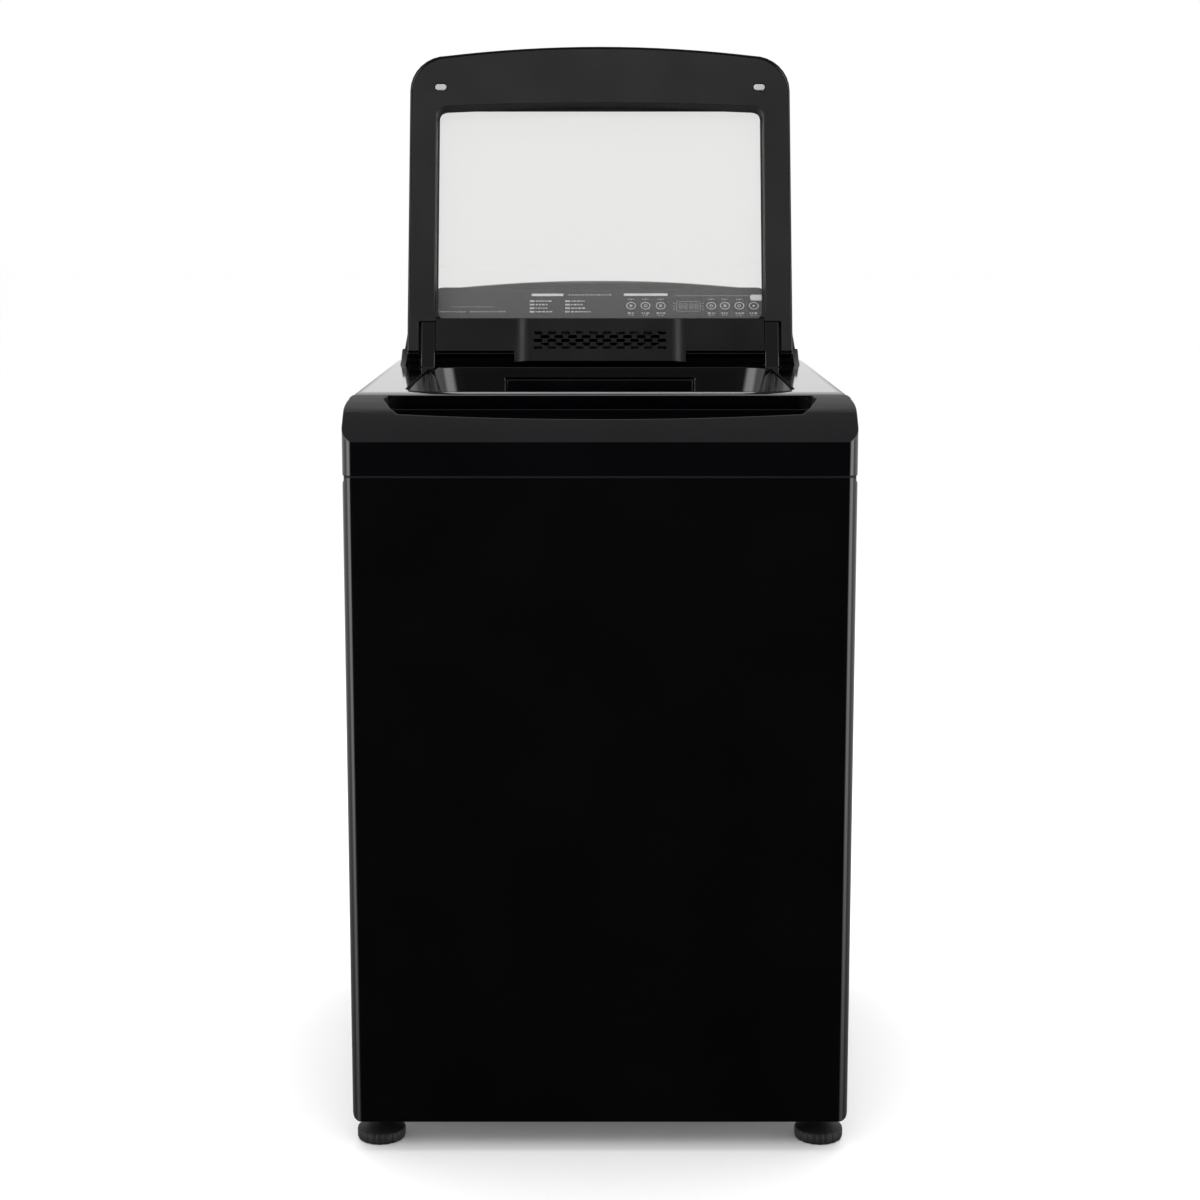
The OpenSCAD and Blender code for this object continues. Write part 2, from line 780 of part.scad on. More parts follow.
module basket() {
    color([0.76, 0.77, 0.78]) on_tub_axis() difference() {
        ring(basket_r, basket_r - 1.5, 240, 748);
        for (i = [0 : hole_columns - 1], z = [300 : 50 : 700])
            rotate(360 / hole_columns * i) translate([basket_r - 8, 0, z]) rotate([0, 90, 0])
                cylinder(r = 3, h = 16);
    }
}

module basket_hub() {
    color([0.7, 0.71, 0.72]) on_tub_axis() rotate_extrude() polygon([[spin_shaft_r, 231],
        [60, 231], [70, 233], [basket_r + 1.5, 233], [basket_r + 1.5, 246], [basket_r, 246],
        [basket_r, 240], [40, 240], [34, 252], [spin_shaft_r, 252]]);
}

module balance_ring() {
    color([0.85, 0.86, 0.87]) on_tub_axis() rotate_extrude() difference() {
        union() {
            translate([222, 748]) square([28, 26]);
            translate([228, 742]) square([16, 38]);
            translate([228, 748]) circle(6);
            translate([228, 774]) circle(6);
            translate([244, 774]) circle(6);
        }
    }
}

module spin_shaft() {
    color([0.72, 0.73, 0.75]) on_tub_axis() ring(spin_shaft_r, wash_shaft_r + fit, 100, 255);
}

// Lint catchers on opposite sides of the basket wall
module lint_filters() {
    color([0.88, 0.89, 0.9]) on_tub_axis() for (a = [0, 180]) rotate(a) difference() {
        intersection() {
            ring(basket_r - 1.5, basket_r - 16, 430, 640);
            translate([0, -65, 400]) cube([300, 130, 300]);
        }
        for (z = [450 : 25 : 620])
            box([0, -50, z], [basket_r - 8, 50, z + 12]);
    }
}

module pulsator() {
    color([0.8, 0.81, 0.83]) on_tub_axis() {
        difference() {
            rotate_extrude() polygon(concat([[wash_shaft_r, 259], [42, 259], [60, 247],
                [pulsator_r - 6, 247], [pulsator_r, 252]],
                arc([pulsator_r, 254], [50, 266], -5, 6), [[38, 286], [20, 288], [20, 284],
                [wash_shaft_r, 284]]));
        }
        for (i = [0 : fin_count - 1]) rotate(360 / fin_count * i) rotate([90, 0, 0])
            translate([0, 0, -7]) linear_extrude(14) polygon([[44, 262], [pulsator_r - 14, 253],
                [pulsator_r - 26, 268], [100, 279], [60, 284], [44, 283]]);
    }
}

module pulsator_cap() {
    color([0.7, 0.71, 0.73]) on_tub_axis() rotate_extrude() polygon([[0, 284], [19.5, 284],
        [19.5, 288], [14, 291], [0, 292]]);
}

module wash_shaft() {
    color([0.68, 0.69, 0.71]) on_tub_axis() translate([0, 0, 70])
        cylinder(r = wash_shaft_r, h = 284 - 70);
}

// A pulley with a groove for the belt and a web between hub and rim
module pulley(r) {
    mid = (pulley_low + pulley_high) / 2;
    rotate_extrude() polygon([[wash_shaft_r, pulley_low], [r, pulley_low],
        [r, mid - belt_h / 2], [r - 6 - gap, mid - belt_h / 2], [r - 6 - gap, mid + belt_h / 2],
        [r, mid + belt_h / 2], [r, pulley_high], [wash_shaft_r, pulley_high]]);
}

module clutch_pulley() {
    color([0.62, 0.63, 0.65]) on_tub_axis() difference() {
        pulley(clutch_pulley_r);
        for (a = [0 : 60 : 300]) rotate(a) translate([40, 0, pulley_low - 1])
            cylinder(r = 12, h = 40);
    }
}

module motor_pulley() {
    color([0.62, 0.63, 0.65]) translate([motor_x, tub_y, 0]) {
        pulley(motor_pulley_r);
        translate([0, 0, 70]) cylinder(r = wash_shaft_r, h = 80);
    }
}

// ---------------------------------------------------------------- lid, drawn closed

// The hinge is at the origin, the lid reaches towards -y, and z is up
module open_lid() {
    translate([0, at(hinge_d), hinge_z]) rotate([-lid_angle, 0, 0]) children();
}

module lid_outline(t) {
    half = lid_w / 2 - t;
    reach = lid_reach - t;
    shoulder = half - lid_corner;
    front = arc([-shoulder, -reach + 13], [shoulder, -reach + 13], -13, 16);
    corner = quarter([shoulder, -reach + 13], [half, -reach + 13],
        [half, -reach + 13 + lid_corner]);
    polygon(concat([[-half, -lid_back - t]], [for (i = [len(corner) - 1 : -1 : 0])
        [-corner[i][0], corner[i][1]]], front, corner, [[half, -lid_back - t]]));
}

// Side profile of the lid between its inner face and its rounded top
module lid_profile(t) {
    low = lid_face;
    top = lid_face + lid_t - t;
    polygon(concat([[-lid_back - t, low], [-lid_back - t, top - 9]],
        quarter([-lid_back - t, top - 9], [-lid_back - t, top], [-lid_back - 12 - t, top], 4),
        [[-380, top]],
        quarter([-380, top], [-lid_reach + t, top], [-lid_reach + t, low + 4], 10),
        [[-lid_reach + t, low]]));
}

module window_outline(t) {
    half = window_half + t;
    rear = -window_rear + t;
    front = -window_front - t;
    polygon(concat(
        quarter([-half, rear - 14], [-half, rear], [-half + 14, rear], 5),
        quarter([half - 14, rear], [half, rear], [half, rear - 14], 5),
        quarter([half, front + 18], [half, front + 7], [half - 14, front + 5], 5),
        [for (i = [16 : -1 : 0]) arc([-half + 14, front + 5], [half - 14, front + 5], -5, 16)[i]],
        quarter([-half + 14, front + 5], [-half, front + 7], [-half, front + 18], 5)));
}

module lid_outer_frame() {
    color([0.03, 0.03, 0.033]) open_lid() difference() {
        intersection() {
            linear_extrude(100) lid_outline(0);
            along_x(body_w) lid_profile(0);
        }
        intersection() {
            translate([0, 0, -1]) linear_extrude(100) lid_outline(2.5);
            along_x(body_w) translate([0, -1]) lid_profile(2.5);
        }
        translate([0, 0, glass_under]) linear_extrude(glass_t + eps) window_outline(16);
        linear_extrude(100) window_outline(10);
        notch();
        translate([0, 0, lid_face]) box([-big, -lid_back - 4, -1], [big, 0, 3.01]);
    }
}

module lid_glass() {
    color([0.6, 0.62, 0.64, 0.35]) open_lid() translate([0, 0, glass_under])
        linear_extrude(glass_t) window_outline(15.5);
}

module notch() {
    both_sides() box([222, -78, 0], [246, -20, 27]);
}

module lid_inner_frame() {
    color([0.17, 0.16, 0.165]) open_lid() difference() {
        union() {
            translate([0, 0, lid_face]) linear_extrude(3) intersection() {
                lid_outline(3);
                translate([-big, -lid_reach + 3]) square([2 * big, lid_reach - 3 - lid_back - 4]);
            }
            translate([0, 0, lid_face]) linear_extrude(glass_under - lid_face)
                intersection() {
                    window_outline(2.5);
                    lid_outline(8);
                }
            both_sides() difference() {
                box([219.5, -81, lid_face], [248.5, -lid_back - 4, 30]);
                box([222, -78, 0], [246, -20, 27]);
            }
        }
        translate([0, 0, -1]) linear_extrude(100) window_outline(0);
        notch();
        for (x = [-219, 219]) translate([x, -407, lid_face - 1]) linear_extrude(3)
            rounded(18, 11, 5.4);
        box([-window_half + 2, -window_rear - 1, 0], [window_half - 2, 0, lid_face + 3.3]);
    }
}

// Panel below the window, with a vented bump in its middle that blends into it on both sides
module lid_rear_panel() {
    proud = lid_face - 5;
    flank = concat(quarter([-116, lid_face], [-109, lid_face], [-105.5, lid_face - 2.5], 5),
        quarter([-105.5, lid_face - 2.5], [-102, proud], [-95, proud], 5));
    color([0.1, 0.1, 0.105]) open_lid() difference() {
        union() {
            box([-window_half + 2.4, -window_rear + 0.4, lid_face],
                [window_half - 2.4, -lid_back - 4, lid_face + 3]);
            along_y(-window_rear + 1, -22) polygon(concat(flank, mirrored(flank),
                [[116, lid_face + 3], [-116, lid_face + 3]]));
            box([-114, -24.5, lid_face + 2], [114, -22, lid_face + 14]);
        }
        box([-90, -78, lid_face - 3], [90, -27, lid_face + 4]);
        for (row = [0 : grille_rows - 1], i = [-4.5 : 1 : 4.5]) if (abs(i + (row % 2) / 2) < 4.8)
            translate([grille_pitch * (i + (row % 2) / 2), -40 - 5.2 * row, -10])
                linear_extrude(40) rounded(12, 4.5, 2.1, $fn = 20);
    }
}

module lid_bumpers() {
    color([0.62, 0.63, 0.64]) open_lid() for (x = [-219, 219])
        translate([x, -407, lid_face - 0.6]) linear_extrude(2.6) rounded(15.5, 8.5, 4.2);
}

// Goose-neck arms from the pins up into the notches of the lid
module hinge_arms() {
    color([0.1, 0.1, 0.105]) open_lid() both_sides() translate([hinge_x, 0, 0]) difference() {
        union() {
            rotate([0, 90, 0]) cylinder(r = 9, h = arm_w, center = true);
            along_x(arm_w) polygon([[9, 0], [9, 20], [4, 24.5], [-78, 24.5], [-78, 15], [-14, 15],
                [-9, 10], [-9, 0]]);
        }
        rotate([0, 90, 0]) cylinder(r = hinge_pin_r + fit, h = 60, center = true);
    }
}

cabinet();
back_panel();
base_frame();
top_cover();
console_housing();
control_panel();
display_window();
indicator_lights();
control_board();
dispenser_housing();
detergent_drawer();
inlet_valve();
lid_switch();
hinge_pins();
rod_seats();
suspension_rods();
suspension_springs();
level_sensor();
pressure_tube();
drain_outlet();
drain_hose();
cable_gland();
case_screws();
lid_outer_frame();
lid_glass();
lid_inner_frame();
lid_rear_panel();
lid_bumpers();
hinge_arms();
tub();
tub_cover();
suspension_cups();
support_bracket();
clutch_housing();
shaft_bearings();
shaft_seal();
motor();
drive_belt();
drain_pump();
basket();
basket_hub();
balance_ring();
spin_shaft();
lint_filters();
pulsator();
pulsator_cap();
wash_shaft();
clutch_pulley();
motor_pulley();
foot(-foot_x, foot_depths[0]);  // foot_front_left
foot(foot_x, foot_depths[0]);  // foot_front_right
foot(-foot_x, foot_depths[1]);  // foot_rear_left
foot(foot_x, foot_depths[1]);  // foot_rear_right
button(button_x[0]);  // button_program
button(button_x[1]);  // button_water_level
button(button_x[2]);  // button_temperature
button(button_x[3]);  // button_delay
button(button_x[4]);  // button_rinse
button(button_x[5]);  // button_spin
button(button_x[6]);  // button_start
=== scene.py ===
import json
import math
import random

import bmesh
import bpy
from mathutils import Matrix, Vector


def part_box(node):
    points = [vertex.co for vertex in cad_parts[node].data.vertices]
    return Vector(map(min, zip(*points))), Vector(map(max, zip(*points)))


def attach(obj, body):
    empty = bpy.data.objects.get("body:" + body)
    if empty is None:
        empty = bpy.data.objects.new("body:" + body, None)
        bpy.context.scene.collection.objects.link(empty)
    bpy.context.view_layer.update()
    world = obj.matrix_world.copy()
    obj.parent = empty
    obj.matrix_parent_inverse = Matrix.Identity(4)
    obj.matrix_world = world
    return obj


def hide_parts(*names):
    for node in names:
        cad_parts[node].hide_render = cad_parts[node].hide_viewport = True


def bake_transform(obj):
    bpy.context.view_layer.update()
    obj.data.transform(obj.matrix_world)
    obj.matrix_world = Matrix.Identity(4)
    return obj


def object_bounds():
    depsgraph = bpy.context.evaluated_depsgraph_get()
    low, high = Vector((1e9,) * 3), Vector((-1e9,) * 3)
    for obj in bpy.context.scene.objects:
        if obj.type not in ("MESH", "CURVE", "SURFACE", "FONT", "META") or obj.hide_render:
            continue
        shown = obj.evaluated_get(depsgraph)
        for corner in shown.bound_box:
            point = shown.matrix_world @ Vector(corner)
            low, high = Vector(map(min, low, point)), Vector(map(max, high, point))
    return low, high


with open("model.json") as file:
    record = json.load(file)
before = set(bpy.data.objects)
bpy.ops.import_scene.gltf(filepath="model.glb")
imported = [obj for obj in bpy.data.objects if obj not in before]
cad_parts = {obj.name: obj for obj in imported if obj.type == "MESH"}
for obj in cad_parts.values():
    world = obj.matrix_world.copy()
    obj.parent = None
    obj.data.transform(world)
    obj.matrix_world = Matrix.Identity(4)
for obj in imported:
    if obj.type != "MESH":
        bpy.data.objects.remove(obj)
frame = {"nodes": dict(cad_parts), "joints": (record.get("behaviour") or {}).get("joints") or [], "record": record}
cad_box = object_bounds()
MM = 0.001


# ------------------------------------------------------------------ camera, floor, light

def make_camera():
    """Straight on, level with the lid and looking a little down."""
    front = cad_box[0].y
    data = bpy.data.cameras.new("camera")
    data.sensor_width = 36
    data.lens = 67.65
    data.shift_y = -0.05
    camera = bpy.data.objects.new("camera", data)
    camera.location = (0, front - 2.55, 1.115)
    camera.rotation_euler = (math.radians(90 - 8.445), 0, 0)
    bpy.context.scene.collection.objects.link(camera)
    bpy.context.scene.camera = camera


def link(tree, a, b):
    tree.links.new(a, b)


def map_range(tree, source, low, high, to_low, to_high, smooth=True):
    node = tree.nodes.new("ShaderNodeMapRange")
    if smooth:
        node.interpolation_type = "SMOOTHSTEP"
    for name, value in (("From Min", low), ("From Max", high), ("To Min", to_low),
                        ("To Max", to_high)):
        node.inputs[name].default_value = value
    link(tree, source, node.inputs["Value"])
    return node.outputs["Result"]


def arithmetic(tree, operation, a, b):
    node = tree.nodes.new("ShaderNodeMath")
    node.operation = operation
    for socket, value in zip(node.inputs, (a, b)):
        if isinstance(value, (int, float)):
            socket.default_value = value
        else:
            link(tree, value, socket)
    return node.outputs[0]


def make_world():
    """A white studio. Its mirror image is dark towards the front, dim overhead, bright up to a
    greater height at the back, and has a bright panel on either side of the front."""
    world = bpy.data.worlds.new("studio")
    bpy.context.scene.world = world
    world.use_nodes = True
    tree = world.node_tree
    tree.nodes.clear()
    direction = tree.nodes.new("ShaderNodeTexCoord").outputs["Generated"]
    split = tree.nodes.new("ShaderNodeSeparateXYZ")
    link(tree, direction, split.inputs[0])
    y, z = split.outputs["Y"], split.outputs["Z"]
    # 1 towards the front, and overhead
    front = map_range(tree, y, -0.84, -0.66, 1, 0)
    lowered = arithmetic(tree, "SUBTRACT", z, map_range(tree, y, 0.0, 0.3, 0, 0.4))
    high = map_range(tree, lowered, 0.45, 0.8, 0, 1)
    dark = arithmetic(tree, "MAXIMUM", front, high)
    open_side = arithmetic(tree, "SUBTRACT", 1, dark)
    # the dark part grows a little lighter with height
    dim = map_range(tree, z, 0.02, 0.75, 0.012, 0.24)
    # the bright panel on either side, and the ground's own darkening
    panels = arithmetic(tree, "MULTIPLY", map_range(tree, y, -0.2, -0.45, 0, 1),
                        map_range(tree, z, 0.3, 0.6, 1, 0))
    panels = arithmetic(tree, "MULTIPLY", panels, map_range(tree, z, -0.5, -0.34, 0, 1))
    bright = arithmetic(tree, "ADD", 0.85, arithmetic(tree, "MULTIPLY", panels, 2.2))
    ground = map_range(tree, z, -0.5, -0.05, 0.14, 1)
    mirror = arithmetic(tree, "ADD", arithmetic(tree, "MULTIPLY", dark, dim),
                        arithmetic(tree, "MULTIPLY", open_side, bright))
    mirror = arithmetic(tree, "MULTIPLY", mirror, ground)
    path = tree.nodes.new("ShaderNodeLightPath")
    strength = tree.nodes.new("ShaderNodeMix")
    link(tree, path.outputs["Is Glossy Ray"], strength.inputs["Factor"])
    strength.inputs["A"].default_value = 1.0
    link(tree, mirror, strength.inputs["B"])
    background = tree.nodes.new("ShaderNodeBackground")
    background.inputs["Color"].default_value = (1, 1, 1, 1)
    link(tree, strength.outputs["Result"], background.inputs["Strength"])
    output = tree.nodes.new("ShaderNodeOutputWorld")
    link(tree, background.outputs[0], output.inputs["Surface"])


def make_light(name, place, aim, size, power):
    data = bpy.data.lights.new(name, "AREA")
    data.shape = "RECTANGLE"
    data.size, data.size_y = size
    data.energy = power
    light = bpy.data.objects.new(name, data)
    light.location = place
    light.rotation_euler = (Vector(aim) - Vector(place)).to_track_quat("-Z", "Y").to_euler()
    light.visible_camera = False
    light.visible_glossy = False
    bpy.context.scene.collection.objects.link(light)
    return light


def make_studio():
    bm = bmesh.new()
    bmesh.ops.create_grid(bm, x_segments=8, y_segments=8, size=40)
    mesh = bpy.data.meshes.new("floor")
    bm.to_mesh(mesh)
    floor = bpy.data.objects.new("floor", mesh)
    bpy.context.scene.collection.objects.link(floor)
    mat = bpy.data.materials.new("floor_white")
    mat.use_nodes = True
    shader = mat.node_tree.nodes["Principled BSDF"]
    shader.inputs["Base Color"].default_value = (0.93, 0.93, 0.93, 1)
    shader.inputs["Roughness"].default_value = 0.9
    shader.inputs["Specular IOR Level"].default_value = 0.1
    shader.inputs["Emission Color"].default_value = (1, 1, 1, 1)
    shader.inputs["Emission Strength"].default_value = 0.075
    mesh.materials.append(mat)
    floor.visible_glossy = False
    make_light("top", (0, 0.4, 3.2), (0, 0, 0.5), (3.0, 2.4), 60)
    make_light("high_front", (0, -3.4, 3.6), (0, 0, 0.8), (3.2, 1.6), 40)
    bpy.context.scene.view_settings.view_transform = "Standard"


# ------------------------------------------------------------------ materials

def surface(name, dark, light, rough, patch=14, grain=420, bump=0.04, depth=0.2, metallic=0.0,
            coat=0.0, stretch=(1, 1, 1), cells=0.0, gloss=0.5):
    """A principled surface whose colour and roughness drift a little and whose face has a fine
    grain. cells mixes in the crystal pattern of zinc."""
    mat = bpy.data.materials.new(name)
    mat.use_nodes = True
    tree = mat.node_tree
    shader = tree.nodes["Principled BSDF"]
    shader.inputs["Metallic"].default_value = metallic
    shader.inputs["Coat Weight"].default_value = coat
    shader.inputs["Specular IOR Level"].default_value = gloss
    shader.inputs["Coat Roughness"].default_value = 0.04
    place = tree.nodes.new("ShaderNodeTexCoord").outputs["Object"]
    mapping = tree.nodes.new("ShaderNodeMapping")
    mapping.inputs["Scale"].default_value = stretch
    link(tree, place, mapping.inputs["Vector"])
    drift = tree.nodes.new("ShaderNodeTexNoise")
    drift.inputs["Scale"].default_value = patch
    drift.inputs["Detail"].default_value = 4
    link(tree, mapping.outputs[0], drift.inputs["Vector"])
    factor = drift.outputs["Fac"]
    if cells:
        crystal = tree.nodes.new("ShaderNodeTexVoronoi")
        crystal.inputs["Scale"].default_value = cells
        link(tree, mapping.outputs[0], crystal.inputs["Vector"])
        tone = tree.nodes.new("ShaderNodeSeparateColor")
        link(tree, crystal.outputs["Color"], tone.inputs[0])
        factor = tone.outputs[0]
    ramp = tree.nodes.new("ShaderNodeValToRGB")
    ramp.color_ramp.elements[0].position = 0.3
    ramp.color_ramp.elements[0].color = (*dark, 1)
    ramp.color_ramp.elements[1].position = 0.7
    ramp.color_ramp.elements[1].color = (*light, 1)
    link(tree, factor, ramp.inputs["Fac"])
    link(tree, ramp.outputs["Color"], shader.inputs["Base Color"])
    link(tree, map_range(tree, factor, 0.3, 0.7, *rough, smooth=False),
         shader.inputs["Roughness"])
    fine = tree.nodes.new("ShaderNodeTexNoise")
    fine.inputs["Scale"].default_value = grain
    fine.inputs["Detail"].default_value = 3
    link(tree, mapping.outputs[0], fine.inputs["Vector"])
    relief = tree.nodes.new("ShaderNodeBump")
    relief.inputs["Strength"].default_value = bump
    relief.inputs["Distance"].default_value = depth * MM
    link(tree, fine.outputs["Fac"], relief.inputs["Height"])
    link(tree, relief.outputs["Normal"], shader.inputs["Normal"])
    return mat


def glass(name):
    """Smoked glass: a tinted film with a faint haze, that also mirrors its surroundings."""
    mat = bpy.data.materials.new(name)
    mat.use_nodes = True
    tree = mat.node_tree
    tree.nodes.clear()
    place = tree.nodes.new("ShaderNodeTexCoord").outputs["Object"]
    noise = tree.nodes.new("ShaderNodeTexNoise")
    noise.inputs["Scale"].default_value = 6
    link(tree, place, noise.inputs["Vector"])
    ramp = tree.nodes.new("ShaderNodeValToRGB")
    ramp.color_ramp.elements[0].color = (0.975, 0.975, 0.97, 1)
    ramp.color_ramp.elements[1].color = (0.985, 0.985, 0.98, 1)
    link(tree, noise.outputs["Fac"], ramp.inputs["Fac"])
    film = tree.nodes.new("ShaderNodeBsdfTransparent")
    link(tree, ramp.outputs["Color"], film.inputs["Color"])
    haze = tree.nodes.new("ShaderNodeBsdfDiffuse")
    haze.inputs["Color"].default_value = (0.53, 0.53, 0.53, 1)
    veil = tree.nodes.new("ShaderNodeMixShader")
    veil.inputs["Fac"].default_value = 0.12
    link(tree, film.outputs[0], veil.inputs[1])
    link(tree, haze.outputs[0], veil.inputs[2])
    mirror = tree.nodes.new("ShaderNodeBsdfGlossy")
    mirror.inputs["Color"].default_value = (0.95, 0.97, 1, 1)
    mirror.inputs["Roughness"].default_value = 0.02
    fresnel = tree.nodes.new("ShaderNodeFresnel")
    fresnel.inputs["IOR"].default_value = 1.5
    mix = tree.nodes.new("ShaderNodeMixShader")
    link(tree, fresnel.outputs[0], mix.inputs["Fac"])
    link(tree, veil.outputs[0], mix.inputs[1])
    link(tree, mirror.outputs[0], mix.inputs[2])
    output = tree.nodes.new("ShaderNodeOutputMaterial")
    link(tree, mix.outputs[0], output.inputs["Surface"])
    return mat


def make_materials():
    table = {
        "steel_black": surface("enamel_black", (0.0010, 0.0010, 0.0013), (0.0015, 0.0015, 0.0019),
                               (0.10, 0.13), patch=9, grain=160, bump=0.025, depth=0.1, coat=0.5),
        "galvanised": surface("zinc", (0.40, 0.41, 0.42), (0.50, 0.51, 0.52), (0.34, 0.46),
                              metallic=0.9, cells=170, grain=300),
        "plastic_base": surface("base_plastic", (0.025, 0.025, 0.027), (0.04, 0.04, 0.042),
                                (0.5, 0.65), grain=700, bump=0.2),
        "gloss_black": surface("gloss_plastic", (0.0010, 0.0010, 0.0016), (0.0016, 0.0016, 0.0025),
                               (0.07, 0.10), patch=7, grain=110, bump=0.012, depth=0.1, coat=0.6),
        "satin_black": surface("satin_plastic", (0.005, 0.005, 0.0055), (0.008, 0.008, 0.0085),
                               (0.3, 0.42), grain=1200, bump=0.12, gloss=0.35),
        "panel_black": surface("panel_film", (0.010, 0.010, 0.012), (0.014, 0.014, 0.016),
                               (0.2, 0.28), grain=240, bump=0.008),
        "display": surface("display_glass", (0.02, 0.022, 0.024), (0.035, 0.037, 0.04),
                           (0.05, 0.09), grain=200, bump=0.01, coat=0.5),
        "light_lens": surface("white_lens", (0.62, 0.64, 0.66), (0.78, 0.8, 0.82), (0.25, 0.4),
                              grain=900, bump=0.1),
        "circuit_board": surface("board_green", (0.01, 0.09, 0.03), (0.03, 0.16, 0.06),
                                 (0.35, 0.5), patch=120, grain=700, bump=0.2),
        "plastic_white": surface("white_plastic", (0.62, 0.62, 0.6), (0.7, 0.7, 0.68),
                                 (0.35, 0.5), grain=800, bump=0.1),
        "steel": surface("steel", (0.4, 0.4, 0.41), (0.55, 0.55, 0.56), (0.2, 0.38),
                         metallic=1.0, grain=500, bump=0.06, stretch=(1, 1, 12)),
        "spring_steel": surface("spring_steel", (0.2, 0.2, 0.21), (0.34, 0.34, 0.35),
                                (0.25, 0.4), metallic=1.0, grain=600),
        "plastic_dark": surface("dark_plastic", (0.02, 0.02, 0.021), (0.035, 0.035, 0.036),
                                (0.45, 0.6), grain=900, bump=0.18),
        "hose": surface("grey_hose", (0.2, 0.2, 0.21), (0.27, 0.27, 0.28), (0.5, 0.65),
                        grain=500, bump=0.2),
        "tinted_glass": glass("smoked_glass"),
        "lid_satin": surface("lid_satin", (0.0125, 0.0115, 0.0115), (0.0165, 0.0155, 0.0155),
                             (0.38, 0.48), patch=10, grain=1500, bump=0.12, gloss=0.25),
        "bumper_rubber": surface("bumper_grey", (0.30, 0.30, 0.305), (0.42, 0.42, 0.425),
                                 (0.4, 0.55), grain=900, bump=0.1),
        "plastic_tub": surface("tub_plastic", (0.5, 0.51, 0.52), (0.6, 0.61, 0.62),
                               (0.4, 0.55), grain=600, bump=0.12),
        "cast_alloy": surface("cast_alloy", (0.32, 0.32, 0.33), (0.45, 0.45, 0.46),
                              (0.4, 0.6), metallic=0.9, grain=350, bump=0.35),
        "rubber": surface("rubber", (0.005, 0.005, 0.005), (0.009, 0.009, 0.009),
                          (0.55, 0.7), grain=500, bump=0.15),
        "motor_paint": surface("motor_paint", (0.03, 0.04, 0.06), (0.05, 0.06, 0.085),
                               (0.35, 0.5), grain=300, bump=0.2),
        "stainless": surface("stainless", (0.62, 0.62, 0.615), (0.74, 0.74, 0.735),
                             (0.30, 0.40), metallic=0.8, grain=260, bump=0.03,
                             stretch=(1, 1, 0.08)),
        "plastic_light": surface("pulsator_plastic", (0.42, 0.44, 0.47), (0.5, 0.52, 0.55),
                                 (0.28, 0.4), grain=700, bump=0.08),
        "button": surface("button_gloss", (0.012, 0.012, 0.014), (0.02, 0.02, 0.022),
                          (0.15, 0.25), grain=600, bump=0.03, coat=0.3),
        "ink": surface("print_ink", (0.88, 0.89, 0.9), (0.95, 0.96, 0.97), (0.4, 0.5),
                       patch=300, grain=900, bump=0.05),
        "ink_dim": surface("print_ink_dim", (0.42, 0.425, 0.43), (0.52, 0.525, 0.53),
                           (0.4, 0.5), patch=300, grain=900, bump=0.05),
    }
    return table


SLOT = {s["node"]: s["material_slot"] for s in frame["record"]["subparts"]}
BODY = {n: body for body, nodes in frame["record"]["behaviour"]["bodies"].items()
        for n in nodes}
make_camera()
make_world()
make_studio()
MATERIAL = make_materials()
for node, obj in frame["nodes"].items():
    obj.data.materials.clear()
    obj.data.materials.append(MATERIAL[SLOT[node]])


# ------------------------------------------------------------------ piece helpers

def piece_from(bm, name, material, body, smooth=40, replaces=(), bevel=None):
    """Turns a bmesh into a piece that rides on a body, if one is given."""
    mesh = bpy.data.meshes.new(name)
    bmesh.ops.recalc_face_normals(bm, faces=bm.faces)
    bm.to_mesh(mesh)
    bm.free()
    mesh.materials.append(MATERIAL[material])
    mesh.shade_smooth()
    mesh.set_sharp_from_angle(angle=math.radians(smooth))
    piece = bpy.data.objects.new(name, mesh)
    bpy.context.scene.collection.objects.link(piece)
    if bevel:
        soften(piece, *bevel)
    if body:
        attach(piece, body)
    if replaces:
        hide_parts(*replaces)
    return piece


def soften(piece, width, segments=2):
    """Rounds the piece's sharp edges and keeps its flat faces flat."""
    round_off = piece.modifiers.new("edges", "BEVEL")
    round_off.width = width * MM
    round_off.segments = segments
    round_off.limit_method = "ANGLE"
    round_off.angle_limit = math.radians(35)
    round_off.use_clamp_overlap = False
    round_off.miter_outer = "MITER_ARC"
    level = piece.modifiers.new("normals", "WEIGHTED_NORMAL")
    level.keep_sharp = True


def cad_bmesh(node, merge=True):
    """The CAD node's own shape as welded faces, with flat areas merged if asked."""
    source = frame["nodes"][node].data
    bm = bmesh.new()
    points = [bm.verts.new(v.co) for v in source.vertices]
    for face in source.polygons:
        try:
            bm.faces.new([points[i] for i in face.vertices])
        except ValueError:
            pass
    bmesh.ops.remove_doubles(bm, verts=bm.verts, dist=2e-6)
    bmesh.ops.dissolve_degenerate(bm, edges=bm.edges, dist=1e-6)
    if merge:
        bmesh.ops.dissolve_limit(bm, angle_limit=math.radians(0.4), verts=bm.verts,
                                 edges=bm.edges)
    return bm


def dress(node, width=0.8, segments=2, smooth=40, material=None, shape=None, merge=True):
    """A piece with the CAD node's shape, rounded edges and smooth curves in its place."""
    bm = cad_bmesh(node, merge)
    if shape:
        shape(bm)
    slot = SLOT[node]
    return piece_from(bm, node + "_skin", material or slot, BODY[node], smooth, (node,),
                      (width, segments) if width else None)


def flexing(node):
    """The CAD node's shape as a piece fixed to no body, with its placement baked into its points."""
    slot = SLOT[node]
    piece = piece_from(cad_bmesh(node), node + "_skin", slot, None, 40, (node,))
    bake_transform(piece)


